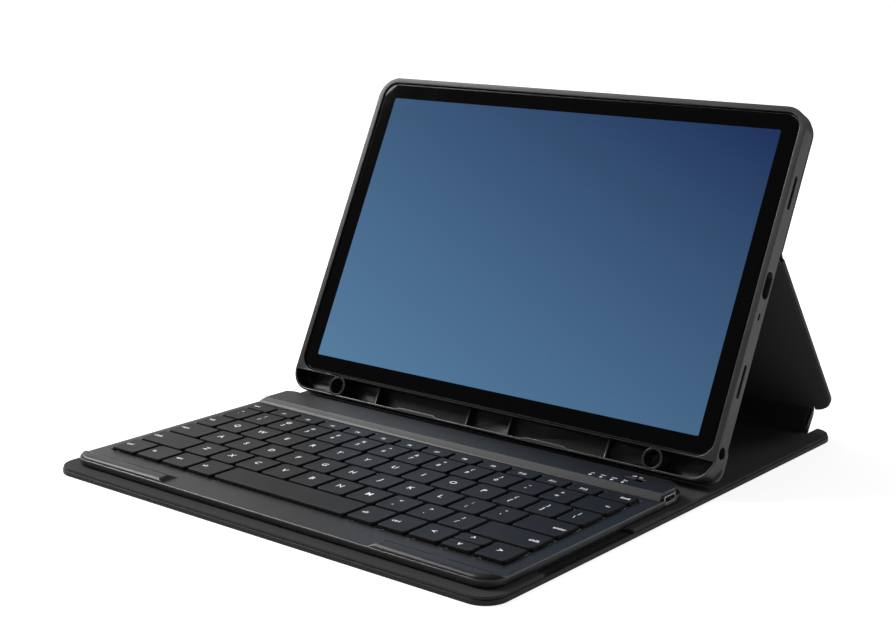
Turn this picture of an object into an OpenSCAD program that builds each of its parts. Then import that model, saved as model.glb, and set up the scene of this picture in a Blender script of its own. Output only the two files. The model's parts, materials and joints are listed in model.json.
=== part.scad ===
/* [Folio] */
// Width of the folio panels
base_w = 260; // [258:1:264]
// Depth of the base panel, front to back
base_d = 287; // [286:1:290]
// Corner radius of the folio panels
panel_r = 11; // [8:0.5:12]
// Thickness of the outer leather skin
skin_t = 0.9; // [0.8:0.1:1]
// Thickness of the stiffening board
board_t = 1.4; // [1.2:0.1:1.4]
// Thickness of the soft lining
lining_t = 1.3; // [1.2:0.1:1.3]
// Width of the soft spine between base and leg
spine_w = 237; // [230:1:238]
// Length of the thumb notch in the lining's side edges
notch_len = 64; // [50:1:64]

/* [Stand] */
// Lean of the case back from the vertical
lean = 26; // [25:0.5:26]
// Height of the crease up the case's back
crease_v = 100; // [99:1:101]

/* [Case] */
// Width of the case
case_w = 261.2; // [261.2:0.2:263]
// Height of the case, pen channel included
case_h = 180.6; // [180:0.2:181.4]
// Corner radius of the case
case_r = 11.5; // [10:0.5:12]
// Depth of the case behind the screen
case_t = 8; // [8:0.1:8.4]
// Depth of the thicker foot round the pen channel
foot_t = 10; // [9.8:0.1:10.4]
// Clearance round the tablet
fit_gap = 0.3; // [0.3:0.05:0.35]

/* [Tablet] */
// Width of the tablet
tab_w = 254.3; // [254:0.1:254.4]
// Height of the tablet
tab_h = 165.8; // [165.5:0.1:166]
// Thickness of the tablet
tab_t = 5.9; // [5.7:0.1:5.9]
// Corner radius of the tablet
tab_r = 8; // [7:0.5:8.5]

/* [Keyboard] */
// Width of the keyboard
kb_w = 250.6; // [248:0.2:252]
// Depth of the keyboard
kb_d = 144; // [143:0.5:144.5]
// Key pitch, side to side
pitch_x = 17.55; // [17.3:0.05:17.6]
// Key pitch, front to back
pitch_y = 17.85; // [17.6:0.05:17.9]
// Gap between neighbouring key caps
key_gap = 1.5; // [1.4:0.1:1.8]
// Travel of a key
key_travel = 1.2; // [1:0.1:1.2]

/* [Hidden] */
$fn = 48;

eps = 0.01;
body_gap = 0.3;
front_y = -base_d / 2;
panel_t = skin_t + board_t + lining_t;
hem = 2.4;                                  // skin's edge round the board

// folds
spine_y = 132.5;
spine_z = panel_t + 0.7;
knee_y = 141;
knee_z = 16.2;
ear_gap = 0.8;

// case, in its own frame: x across, y up the screen, z out of the screen from the glass
chan_h = 11.8;                              // case foot below the tablet
case_cv = case_h / 2 - chan_h;
rim_up = 0.6;
case_y = front_y + 165.5;
case_z = panel_t + 0.2 + chan_h * cos(lean) + foot_t * sin(lean);
back_t = board_t + skin_t + 0.6;            // upper back panel
crease_n = case_t + back_t + 1.4;
crease_y = case_y + crease_v * sin(lean) + crease_n * cos(lean);
crease_z = case_z + crease_v * cos(lean) - crease_n * sin(lean);

// leg, from the knee to the crease
leg_len = norm([knee_y - crease_y, crease_z - knee_z]);
leg_slope = atan2(knee_y - crease_y, crease_z - knee_z);
spine_len = norm([knee_y - spine_y, knee_z - spine_z]);
spine_slope = atan2(knee_y - spine_y, knee_z - spine_z);

// keyboard heights
kb_y = front_y + 7;                         // its front edge
kb_z = panel_t + body_gap;
cover_t = 0.8;
deck_z = 7.2;
deck_t = 0.9;
wall_t = 2;
bar_z = 10.3;
bar_front = 122.2;                          // foot of the bar's slope, from the keyboard's front
bar_slope = 2.4;
kb_r = 10;
cap_top = 8.7;
cap_t = 1.5;
cap_r = 1.3;
well_gap = 0.3;

// keys: rows from the front, each a list of widths in pitches
keys_x = -118.9;
keys_y = 19.2;                              // front of the bottom row, from the keyboard's front
bottom_row = [1, 1, 1, 1, 4.64, 0.976, 0.976, 0.976, 0.976, 0.976];
lower_row = concat([1.75], [for (i = [1:10]) 0.985], [1.92]);
home_row = concat([1.25], [for (i = [1:11]) 0.985], [1.435]);
upper_row = concat([0.83], [for (i = [1:12]) 0.985], [0.87]);
number_row = concat([0.87], [for (i = [1:12]) 0.955], [1.19]);
function_row = concat([for (i = [1:13]) 0.96], [1.04]);
rows = [bottom_row, lower_row, home_row, upper_row, number_row, function_row];
last_row = 5;
function_depth = 10.6;

function start(list, i) = i <= 0 ? 0 : list[i - 1] + start(list, i - 1);
function row_front(r) = kb_y + keys_y + r * pitch_y - (r == last_row ? 0.3 : 0);
function row_depth(r) = (r == last_row ? function_depth : pitch_y) - key_gap;

// a flat plate with round corners, its middle at the origin
module rounded(w, d, r) {
    square([w - 2 * r, d], center = true);
    square([w, d - 2 * r], center = true);
    for (x = [-1, 1], y = [-1, 1])
        translate([x * (w / 2 - r), y * (d / 2 - r)]) circle(r);
}

module plate(w, d, r, z0, z1) {
    translate([0, 0, z0]) linear_extrude(z1 - z0) rounded(w, d, r);
}

module block(x0, x1, y0, y1, z0, z1) {
    translate([x0, y0, z0]) cube([x1 - x0, y1 - y0, z1 - z0]);
}

// ---- folio: base panel ----
module base_outline(inset) {
    difference() {
        rounded(base_w - 2 * inset, base_d - 2 * inset, panel_r - inset);
        translate([-(spine_w / 2 + ear_gap + inset), spine_y - ear_gap - inset])
            square([spine_w + 2 * (ear_gap + inset), base_d]);
    }
}

module base_skin() {
    color("#232326") difference() {
        linear_extrude(skin_t + board_t) base_outline(0);
        translate([0, 0, skin_t]) linear_extrude(board_t + eps) base_outline(hem);
    }
}

magnet_y = [18, 132];
magnet_x = [-100, 0, 100];
module magnet_bars(w, d, z0, z1) {
    for (x = magnet_x, y = magnet_y)
        block(x - w / 2, x + w / 2, kb_y + y - d / 2, kb_y + y + d / 2, z0, z1);
}

module base_board() {
    color("#4a4540") difference() {
        translate([0, 0, skin_t]) linear_extrude(board_t) base_outline(hem);
        magnet_bars(36, 7, skin_t + 0.4, panel_t);
    }
}

module base_magnets() {
    color("silver") magnet_bars(36, 7, skin_t + 0.4, skin_t + board_t);
}

module side_notch() {
    depth = 6;
    r = 3;
    translate([base_w / 2 - depth, front_y + 36]) {
        translate([0, r]) square([2 * depth, notch_len - 2 * r]);
        translate([r, 0]) square([2 * depth, notch_len]);
        for (y = [r, notch_len - r]) translate([r, y]) circle(r);
    }
}

module base_lining() {
    color("#333436") translate([0, 0, skin_t + board_t]) linear_extrude(lining_t) difference() {
        base_outline(0.5);
        side_notch();
        mirror([1, 0]) side_notch();
    }
}

// ---- folio: spine, in its own frame from the base fold to the knee ----
module in_spine() {
    translate([0, spine_y, spine_z]) rotate([90 - spine_slope, 0, 0]) children();
}

spine_end = 0.8;
module spine_strip(inset, z0, z1) {
    in_spine() block(-spine_w / 2 + inset, spine_w / 2 - inset,
        spine_end + inset, spine_len - spine_end - inset, z0, z1);
}

module spine_skin() { color("#232326") spine_strip(0, -0.5, 0.3); }
module spine_stay() { color("#4a4540") spine_strip(1, 0.3, 0.9); }
module spine_lining() { color("#333436") spine_strip(1.5, 0.9, 1.6); }

// ---- folio: leg, in its own frame from the knee to the crease ----
module in_leg() {
    translate([0, knee_y, knee_z]) rotate([90 + leg_slope, 0, 0]) children();
}

leg_top = leg_len - 1.6;
ear_drop = 1.2;
leg_gap = 1;
module leg_outline(inset) {
    h = leg_top + ear_drop;
    difference() {
        translate([0, leg_top - h / 2]) union() {
            rounded(base_w - 2 * inset, h - 2 * inset, panel_r - inset);
            translate([-base_w / 2 + inset, 0]) square([base_w - 2 * inset, h / 2 - inset]);
        }
        translate([-(spine_w / 2 + ear_gap + inset), -2 * ear_drop])
            square([spine_w + 2 * (ear_gap + inset), 2 * ear_drop + leg_gap + inset]);
    }
}

module leg_skin() {
    color("#232326") in_leg() difference() {
        translate([0, 0, -0.45]) linear_extrude(skin_t + board_t) leg_outline(0);
        translate([0, 0, skin_t - 0.45]) linear_extrude(board_t + eps) leg_outline(hem);
    }
}

module leg_magnet_bars(z0, z1) {
    for (x = [-70, 0, 70]) block(x - 20, x + 20, 12, 20, z0, z1);
}

module leg_board() {
    color("#4a4540") in_leg() difference() {
        translate([0, 0, skin_t - 0.45]) linear_extrude(board_t) leg_outline(hem);
        leg_magnet_bars(skin_t, panel_t);
    }
}

module leg_magnets() { color("silver") in_leg() leg_magnet_bars(skin_t, skin_t + board_t - 0.45); }

module leg_lining() {
    color("#333436") in_leg() translate([0, 0, skin_t + board_t - 0.45])
        linear_extrude(0.7) leg_outline(0.5);
}

// ---- case ----
module in_case() {
    translate([0, case_y, case_z]) rotate([90 - lean, 0, 0]) children();
}

module case_plate(w, d, r, z0, z1) { translate([0, case_cv, 0]) plate(w, d, r, z0, z1); }

cam_x = 104;
cam_v = 146;
cam_w = 26;
cam_h = 17;
module camera_window(grow) {
    translate([cam_x, cam_v, -30]) linear_extrude(29)
        rounded(cam_w + 2 * grow, cam_h + 2 * grow, 5);
}

wall_c = case_w / 2;
chan_wall = 1.2;
chan_lo = -10.6;
chan_hi = -1.2;
chan_floor = -8.2;
side_n = -3.7;
ring_x = 98.5;
ring_v = -6;
ring_r = 5.4;
button_v = case_h - chan_h;                 // the case's top edge
power_x = -81;
power_len = 13.4;
volume_x = -56;
volume_len = 20.6;
button_w = 3.4;

// an upright slot through the side wall at x, from v0 to v1
module wall_slot(x, v0, v1, w) {
    translate([x - 4, (v0 + v1) / 2, side_n]) rotate([90, 0, 90]) linear_extrude(8)
        rounded(v1 - v0, w, w / 2 - 0.05);
}

module button_slot(x, len, w) {
    translate([x, button_v - 5, side_n]) rotate([-90, 0, 0]) linear_extrude(8)
        rounded(len, w, w / 2 - 0.05);
}

module channel_cut() {
    difference() {
        intersection() {
            block(-case_w / 2, case_w / 2, chan_lo, chan_hi, chan_floor, rim_up + 1);
            case_plate(case_w - 2 * chan_wall, case_h - 2 * chan_wall, case_r - chan_wall,
                chan_floor - 1, rim_up + 2);
        }
        for (x = [-72, 72])
            block(x - 0.6, x + 0.6, chan_lo - 1, chan_hi + 1, chan_floor - 1, -2.4);
        for (x = [-13, 13])
            block(x - 0.6, x + 0.6, chan_lo - 1, chan_hi + 1, chan_floor - 1, -4.4);
        for (x = [-42, 39]) translate([x, chan_lo - 0.5, -2.6]) pen_snap();
    }
}

// a low hump on the channel's lip that holds the pen in
module pen_snap() {
    linear_extrude(2.6 + rim_up) polygon([[-15, 0], [-11, 1.5], [11, 1.5], [15, 0]]);
}

module case_shell() {
    color("#3a3b3d") in_case() difference() {
        union() {
            case_plate(case_w, case_h, case_r, -case_t, rim_up);
            translate([0, -chan_h + 11, 0]) plate(case_w, 22, 8, -foot_t, -case_t + eps);
        }
        translate([0, tab_h / 2, 0])
            plate(tab_w + 2 * fit_gap, tab_h + 2 * fit_gap, tab_r + fit_gap,
                -tab_t - fit_gap, rim_up + 1);
        channel_cut();
        camera_window(0);
        for (x = [-ring_x, ring_x]) translate([x, ring_v, 0]) {
            translate([0, 0, chan_floor - 0.9]) cylinder(r = 3, h = 2);
            translate([0, 0, chan_floor]) cylinder(r = ring_r, h = 12);
        }
        wall_slot(wall_c, 120.3, 136.6, 2.2);
        wall_slot(wall_c, 77, 90, 6);
        wall_slot(wall_c, 66.6, 70.2, 1.5);
        wall_slot(wall_c, 29.5, 45.5, 2.2);
        translate([wall_c - 4, 3.6, side_n]) rotate([0, 90, 0]) cylinder(r = 2.9, h = 8);
        wall_slot(-wall_c, 122, 136, 1.8);
        wall_slot(-wall_c, 30, 44, 1.8);
        button_slot(power_x, power_len, button_w);
        button_slot(volume_x, volume_len, button_w);
        translate([24.6, button_v - 5, side_n]) rotate([-90, 0, 0]) cylinder(r = 0.8, h = 8);
    }
}

module channel_rings() {
    color("#4c4d50") in_case() for (x = [-ring_x, ring_x]) translate([x, ring_v, chan_floor])
        difference() {
            cylinder(r = ring_r, h = rim_up - chan_floor - 0.3);
            translate([0, 0, 1]) cylinder(r = ring_r - 1.2, h = 12);
        }
}

module channel_magnets() {
    color("silver") in_case() for (x = [-ring_x, ring_x])
        translate([x, ring_v, chan_floor - 0.9]) cylinder(r = 3, h = 0.9);
}

back_lo = crease_v + 1.6;
back_hi = button_v - 0.8;
module back_outline(inset) {
    h = back_hi - back_lo;
    translate([0, back_lo + h / 2]) union() {
        rounded(base_w - 2 * inset, h - 2 * inset, panel_r - inset);
        translate([-base_w / 2 + inset, -h / 2 + inset]) square([base_w - 2 * inset, h / 2]);
    }
}

module back_board() {
    color("#4a4540") in_case() difference() {
        translate([0, 0, -case_t - board_t - 0.6]) linear_extrude(board_t + 0.6) back_outline(hem);
        camera_window(hem);
    }
}

module back_skin() {
    color("#232326") in_case() difference() {
        translate([0, 0, -case_t - back_t]) linear_extrude(back_t) back_outline(0);
        difference() {
            translate([0, 0, -case_t - board_t - 0.6]) linear_extrude(board_t + 1) back_outline(hem);
            camera_window(hem);
        }
        camera_window(0);
    }
}

module button_cover(x, len) {
    in_case() translate([x, button_v - 2.1, side_n]) rotate([-90, 0, 0])
        linear_extrude(2.7) rounded(len - 0.6, button_w - 0.6, (button_w - 0.6) / 2 - 0.05);
}

module power_button() { color("#444548") button_cover(power_x, power_len); }

module volume_button() { color("#444548") button_cover(volume_x, volume_len); }

// ---- tablet ----
glass_t = 0.8;
module tablet_plate(inset, z0, z1) {
    translate([0, tab_h / 2, 0])
        plate(tab_w - 2 * inset, tab_h - 2 * inset, tab_r - inset, z0, z1);
}

module tablet_housing() {
    color("#6a6d72") in_case() difference() {
        tablet_plate(0, -tab_t, -glass_t);
        tablet_plate(2, -tab_t + 1, -glass_t + eps);
        translate([tab_w / 2 - 6, 83.5, side_n + 0.5]) rotate([90, 0, 90])
            linear_extrude(8) rounded(9.2, 3, 1.45);
        translate([cam_x, cam_v, -tab_t - 1]) cylinder(r = 5.6, h = 3);
    }
}

module tablet_glass() { color("#0a0a0c") in_case() tablet_plate(0.6, -glass_t, 0); }

module tablet_battery() {
    color("#202225") in_case() block(-88, 88, 22, 118, -tab_t + 1, -tab_t + 4);
}

module tablet_board() {
    color("#1d5a3a") in_case() block(-110, 88, 124, 136, -tab_t + 1, -tab_t + 2.6);
}

module tablet_camera() {
    color("#15161a") in_case() translate([cam_x, cam_v, -tab_t - 1.2]) cylinder(r = 5.5, h = 4);
}

// ---- keyboard housing ----
module kb_outline(inset) {
    translate([0, kb_y + kb_d / 2]) rounded(kb_w - 2 * inset, kb_d - 2 * inset, kb_r - inset);
}

module kb_bottom() {
    color("#26272a") difference() {
        translate([0, 0, kb_z]) linear_extrude(cover_t) kb_outline(0.4);
        foot_pads(4.1, -1, kb_z + 0.4);
        screw_posts(kb_z - 1, 3);
    }
}

module foot_pads(r, z0, z1) {
    for (x = [-112, 112], y = [14, 130])
        translate([x, kb_y + y, z0]) cylinder(r = r, h = z1 - z0);
}

module kb_feet() { color("#151515") foot_pads(4, kb_z - 0.1, kb_z + 0.4); }

module kb_magnets() {
    color("silver") magnet_bars(30, 5, kb_z + cover_t, plate_z);
}

plate_z = kb_z + cover_t + 0.6;
plate_t = 0.25;
sheet_t = 0.15;
plate_end = 120.6;
dome_z = plate_z + plate_t + sheet_t;
dome_top = cap_top - cap_t - key_travel - 0.1;    // just under a pressed cap
module kb_plate() {
    color("#9a9da2") difference() {
        block(-120.2, 120.2, kb_y + 14, kb_y + plate_end, plate_z, plate_z + plate_t);
        for (x = magnet_x) translate([x, kb_y + 62, plate_z - 1]) cylinder(r = 2.2, h = 3);
    }
}

module kb_domes() {
    color("#d8d8d2") {
        block(-119.6, 119.6, kb_y + 14.6, kb_y + plate_end - 0.5,
            plate_z + plate_t, dome_z);
        for (r = [0:last_row], i = [0:len(rows[r]) - 1])
            translate([key_mid_x(r, i), row_front(r) + row_depth(r) / 2, dome_z])
                cylinder(r = 2.2, h = dome_top - dome_z);
    }
}

function key_mid_x(r, i) =
    keys_x + (start(rows[r], i) + rows[r][i] / 2) * pitch_x - key_gap / 2;

bar_in_y0 = bar_front + 3.4;
module kb_board() {
    color("#1d5a3a") block(62, 116, kb_y + bar_in_y0 + 1, kb_y + bar_in_y0 + 15,
        kb_z + cover_t + 0.8, kb_z + cover_t + 1.8);
}

module kb_cells() {
    color("#5f6f8c") for (x = [-112, -34])
        block(x, x + 76, kb_y + bar_in_y0 + 1, kb_y + bar_in_y0 + 15,
            kb_z + cover_t + 0.9, kb_z + cover_t + 4);
}

port_y = 129;
module kb_port() {
    color("silver") difference() {
        block(116.8, 124.9, kb_y + port_y - 4.4, kb_y + port_y + 4.4, 5.6, 8.8);
        block(119, 126, kb_y + port_y - 4, kb_y + port_y + 4, 6, 8.4);
    }
}

light_x = [84, 89.8, 95.6, 101.4];
light_y = 126.7;
module kb_lights() {
    color("white") for (x = light_x)
        translate([x, kb_y + light_y, kb_z + cover_t + 1.9])
            cylinder(r = 0.7, h = bar_z - kb_z - cover_t - 1.9);
}

switch_x = 103;
switch_y = 133.4;
switch_travel = 3;
module deck_wells() {
    for (r = [0:last_row], i = [0:len(rows[r]) - 1])
        block(key_left(r, i) - well_gap, key_right(r, i) + well_gap,
            row_front(r) - well_gap, row_front(r) + row_depth(r) + well_gap, deck_z - 2, deck_z + 1);
}

function key_left(r, i) = keys_x + start(rows[r], i) * pitch_x;
function key_right(r, i) = keys_x + start(rows[r], i + 1) * pitch_x - key_gap;

lip_x = 62;                                 // inner foot of each raised lip
lip_ramp = 3;
lip_h = 1.6;
// the lip's rounded front, as how far in and how far above the deck
lip_front = [[0.2, -0.4], [0.5, 0.5], [1.1, 1.2], [2.2, lip_h]];
// a raised lip at one end of the front edge, rounded outwards and ramped down towards the middle
module front_lip() {
    intersection() {
        translate([-kb_w / 2, kb_y, deck_z]) rotate([90, 0, 90]) linear_extrude(kb_w / 2)
            polygon([[0, -0.4], [0, lip_h], [6.4, lip_h], [10.6, 0], [10.6, -0.4]]);
        union() {
            for (i = [0:2])
                translate([-kb_w / 2 + kb_r, kb_y + kb_r, deck_z + lip_front[i][1]])
                    cylinder(r1 = kb_r - lip_front[i][0], r2 = kb_r - lip_front[i + 1][0],
                        h = lip_front[i + 1][1] - lip_front[i][1]);
            lip_run();
        }
    }
}

module lip_run() {
    intersection() {
        translate([-kb_w / 2 + kb_r, kb_y, deck_z]) rotate([90, 0, 90]) linear_extrude(kb_w / 2)
            polygon(concat(lip_front, [[12, lip_h], [12, -0.4]]));
        translate([0, kb_y + 20, deck_z]) rotate([90, 0, 0]) linear_extrude(30)
            polygon([[-kb_w / 2, -0.4], [-kb_w / 2, lip_h], [-lip_x - lip_ramp, lip_h],
                [-lip_x, 0], [-lip_x, -0.4]]);
    }
}

module kb_top() {
    color("#303134") difference() {
        union() {
            translate([0, 0, kb_z + cover_t]) linear_extrude(deck_z - kb_z - cover_t) kb_outline(0);
            bar_solid();
            front_lip();
            mirror([1, 0, 0]) front_lip();
        }
        // hollow under the keys and inside the bar
        translate([0, 0, kb_z + cover_t - eps]) linear_extrude(deck_z - deck_t - kb_z - cover_t)
            kb_outline(wall_t);
        block(-117.5, 117.5, kb_y + bar_in_y0, kb_y + kb_d - 3, kb_z + cover_t, bar_z - 1);
        for (x = [-102, 92]) block(x - 4, x + 4, kb_y + 9, kb_y + 9.8, deck_z - 0.2, deck_z + 3);
        deck_wells();
        block(110, 130, kb_y + port_y - 4.5, kb_y + port_y + 4.5, 5.5, 8.9);
        for (x = light_x) translate([x, kb_y + light_y, 6]) cylinder(r = 0.7, h = 6);
        block(switch_x - 3.6 - switch_travel / 2, switch_x + 3.6 + switch_travel / 2,
            kb_y + switch_y - 1.5, kb_y + switch_y + 1.5, 6, bar_z + 1);
    }
}

// the raised bar along the back, its front face sloped
module bar_solid() {
    intersection() {
        translate([-kb_w / 2, 0, 0]) rotate([90, 0, 90]) linear_extrude(kb_w)
            polygon([[kb_y + bar_front, deck_z - 1], [kb_y + bar_front, deck_z],
                [kb_y + bar_front + bar_slope, bar_z], [kb_y + kb_d, bar_z], [kb_y + kb_d, deck_z - 1]]);
        translate([0, kb_y + kb_d + 1, 0]) rotate([90, 0, 0]) linear_extrude(30)
            polygon([[-kb_w / 2, deck_z - 2], [-kb_w / 2 + 0.5, deck_z], [-kb_w / 2 + 4.5, bar_z],
                [kb_w / 2, bar_z], [kb_w / 2, deck_z - 2]]);
        translate([0, 0, kb_z]) linear_extrude(20) kb_outline(1.6);
    }
}

module kb_screws() {
    color("silver") screw_posts(kb_z + 0.1, deck_z - deck_t - kb_z - 0.3);
}

module screw_posts(z, h) {
    for (x = [-121.8, 121.8], y = [22, 66, 108]) translate([x, kb_y + y, z]) cylinder(r = 0.9, h = h);
}

module kb_switch() {
    color("#505155")
        block(switch_x - 3 - switch_travel / 2, switch_x + 3 - switch_travel / 2,
            kb_y + switch_y - 1.2, kb_y + switch_y + 1.2, bar_z - 1.6, bar_z + 0.5);
}

// ---- keys ----
module cap(x0, x1, y0, y1) {
    translate([(x0 + x1) / 2, (y0 + y1) / 2, 0]) plate(x1 - x0, y1 - y0, cap_r, cap_top - cap_t, cap_top);
}

module key(r, i) {
    cap(key_left(r, i), key_right(r, i), row_front(r), row_front(r) + row_depth(r));
}

module keys(r, first, last) {
    color("#37383b") for (i = [first:last]) key(r, i);
}

module key_esc() { keys(5, 0, 0); }
module keys_function() { keys(5, 1, 12); }
module key_lock() { keys(5, 13, 13); }
module keys_number() { keys(4, 0, 12); }
module key_backspace() { keys(4, 13, 13); }
module key_tab() { keys(3, 0, 0); }
module keys_upper() { keys(3, 1, 13); }
module key_caps() { keys(2, 0, 0); }
module keys_home() { keys(2, 1, 11); }
module key_enter() { keys(2, 12, 12); }
module key_shift_left() { keys(1, 0, 0); }
module keys_lower() { keys(1, 1, 10); }
module key_shift_right() { keys(1, 11, 11); }
module keys_modifier() { keys(0, 0, 3); }
module key_space() { keys(0, 4, 4); }
module keys_option() { keys(0, 5, 6); }
module key_arrow_left() { keys(0, 7, 7); }
module key_arrow_right() { keys(0, 9, 9); }

half_gap = 0.5;
module half_key(k) {
    y0 = row_front(0) + k * (row_depth(0) + half_gap) / 2;
    color("#37383b") cap(key_left(0, 8), key_right(0, 8), y0, y0 + (row_depth(0) - half_gap) / 2);
}
module key_arrow_down() { half_key(0); }
module key_arrow_up() { half_key(1); }

base_skin();
base_board();
base_lining();
base_magnets();
spine_skin();
spine_stay();
spine_lining();
leg_skin();
leg_board();
leg_lining();
leg_magnets();
case_shell();
channel_rings();
channel_magnets();
back_board();
back_skin();
power_button();
volume_button();
tablet_housing();
tablet_glass();
tablet_battery();
tablet_board();
tablet_camera();
kb_bottom();
kb_feet();
kb_magnets();
kb_plate();
kb_domes();
kb_board();
kb_cells();
kb_port();
kb_lights();
kb_top();
kb_screws();
kb_switch();
key_esc();
keys_function();
key_lock();
keys_number();
key_backspace();
key_tab();
keys_upper();
key_caps();
keys_home();
key_enter();
key_shift_left();
keys_lower();
key_shift_right();
keys_modifier();
key_space();
keys_option();
key_arrow_left();
key_arrow_up();
key_arrow_down();
key_arrow_right();
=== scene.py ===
"""Looks for the tablet keyboard case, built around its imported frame."""

import json
import math

import bmesh
import bpy
from mathutils import Matrix, Vector

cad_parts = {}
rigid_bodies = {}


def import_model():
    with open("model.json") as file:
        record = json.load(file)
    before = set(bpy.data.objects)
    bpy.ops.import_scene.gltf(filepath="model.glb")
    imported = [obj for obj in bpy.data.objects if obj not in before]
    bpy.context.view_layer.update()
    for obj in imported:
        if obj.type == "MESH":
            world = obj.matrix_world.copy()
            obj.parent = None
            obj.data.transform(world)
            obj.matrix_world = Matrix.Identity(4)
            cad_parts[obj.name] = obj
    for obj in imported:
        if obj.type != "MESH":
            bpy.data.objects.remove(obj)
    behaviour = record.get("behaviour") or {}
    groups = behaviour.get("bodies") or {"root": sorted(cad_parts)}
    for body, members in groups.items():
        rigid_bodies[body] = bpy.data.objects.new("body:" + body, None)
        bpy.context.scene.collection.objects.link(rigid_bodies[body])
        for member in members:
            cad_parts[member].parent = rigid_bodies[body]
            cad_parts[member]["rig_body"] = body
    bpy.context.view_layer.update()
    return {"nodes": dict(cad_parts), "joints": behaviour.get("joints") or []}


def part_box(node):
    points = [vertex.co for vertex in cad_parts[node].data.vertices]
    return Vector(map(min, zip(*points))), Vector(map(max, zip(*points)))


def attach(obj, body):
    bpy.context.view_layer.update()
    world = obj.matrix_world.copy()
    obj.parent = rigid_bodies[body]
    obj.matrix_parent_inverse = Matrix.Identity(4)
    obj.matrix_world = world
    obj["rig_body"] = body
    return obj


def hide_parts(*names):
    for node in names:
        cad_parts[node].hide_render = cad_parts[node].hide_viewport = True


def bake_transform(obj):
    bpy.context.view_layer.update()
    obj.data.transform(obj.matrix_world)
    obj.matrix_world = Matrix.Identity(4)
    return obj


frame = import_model()

bl_info = {
    "name": "Tablet keyboard case",
    "version": (1, 0, 0),
    "blender": (4, 5, 0),
    "location": "View3D > Sidebar > Keyboard case",
    "description": "Builds the folio, case, tablet and keyboard around their frame",
    "category": "Object",
}

MM = 0.001
CIRCUIT_GREEN = (0.02, 0.09, 0.045)
ACROSS = Vector((1, 0, 0))
JOINTS = {joint["name"]: joint for joint in frame["joints"]}
OUT = Vector(JOINTS["tablet_lift_out"]["axis"]).normalized()
UP = Vector((0, OUT.z, -OUT.y))
BASE_FOLD = Vector(JOINTS["base_fold"]["pos_m"])
KNEE = Vector(JOINTS["stand_fold"]["pos_m"])
CREASE = Vector(JOINTS["crease_fold"]["pos_m"])
SPINE_UP = (KNEE - BASE_FOLD).normalized()
LEG_UP = (CREASE - KNEE).normalized()
SPINE_IN = Vector((0, -SPINE_UP.z, SPINE_UP.y))
LEG_IN = Vector((0, -LEG_UP.z, LEG_UP.y))


# ---------------------------------------------------------------- measuring the frame
def span(node, direction):
    """Lowest and highest distance of a node's points along a direction."""
    far = [vertex.co.dot(direction) for vertex in frame["nodes"][node].data.vertices]
    return min(far), max(far)


def case_point(x, up, out):
    """A point given across, up the screen and out of it."""
    return Vector((x, 0, 0)) + UP * up + OUT * out


def loose_boxes(node):
    """Corner pairs of each separate solid in a node, from left to right."""
    mesh = bmesh.new()
    mesh.from_mesh(frame["nodes"][node].data)
    bmesh.ops.remove_doubles(mesh, verts=mesh.verts, dist=1e-6)
    left = set(mesh.verts)
    boxes = []
    while left:
        stack = [left.pop()]
        found = list(stack)
        while stack:
            for edge in stack.pop().link_edges:
                for vertex in edge.verts:
                    if vertex in left:
                        left.remove(vertex)
                        stack.append(vertex)
                        found.append(vertex)
        low = Vector([min(v.co[axis] for v in found) for axis in range(3)])
        high = Vector([max(v.co[axis] for v in found) for axis in range(3)])
        boxes.append((low, high))
    mesh.free()
    return sorted(boxes, key=lambda pair: pair[0].x)


# ---------------------------------------------------------------- shader graphs
class Value:
    """A socket that Python's operators work on."""

    def __init__(self, graph, socket):
        self.graph = graph
        self.socket = socket

    def _math(self, operation, first, second):
        return self.graph.node("ShaderNodeMath", {"operation": operation}, {0: first, 1: second})

    def __add__(self, other):
        return self._math("ADD", self, other)

    __radd__ = __add__

    def __sub__(self, other):
        return self._math("SUBTRACT", self, other)

    def __rsub__(self, other):
        return self._math("SUBTRACT", other, self)

    def __mul__(self, other):
        return self._math("MULTIPLY", self, other)

    __rmul__ = __mul__


class Tree:
    """A node tree that one method adds nodes to, and the node at its end that they feed."""

    def __init__(self, tree, end):
        self.tree = tree
        self.end = tree.nodes[end]

    def node(self, kind, settings=None, sockets=None, output=0):
        """Adds a node, sets it up, fills its sockets and gives back one of its outputs."""
        made = self.tree.nodes.new(kind)
        for key, value in (settings or {}).items():
            setattr(made, key, value)
        for key, value in (sockets or {}).items():
            if isinstance(value, Value):
                self.tree.links.new(value.socket, made.inputs[key])
            else:
                made.inputs[key].default_value = value
        return Value(self, made.outputs[output])

    def blend_range(self, value, low, high, start=0.0, end=1.0):
        """Runs smoothly from start to end as a value goes from low to high."""
        sockets = {"Value": value, "From Min": low, "From Max": high}
        sockets.update({"To Min": start, "To Max": end})
        return self.node("ShaderNodeMapRange", {"interpolation_type": "SMOOTHSTEP"}, sockets)

    def camera_sees(self):
        """1 on what the camera sees directly, 0 in reflections and bounced light."""
        return self.node("ShaderNodeLightPath", output="Is Camera Ray")

    def feed(self, **values):
        """Links values to the end node's sockets, written with _ for each space."""
        for key, value in values.items():
            self.tree.links.new(value.socket, self.end.inputs[key.replace("_", " ")])


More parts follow.
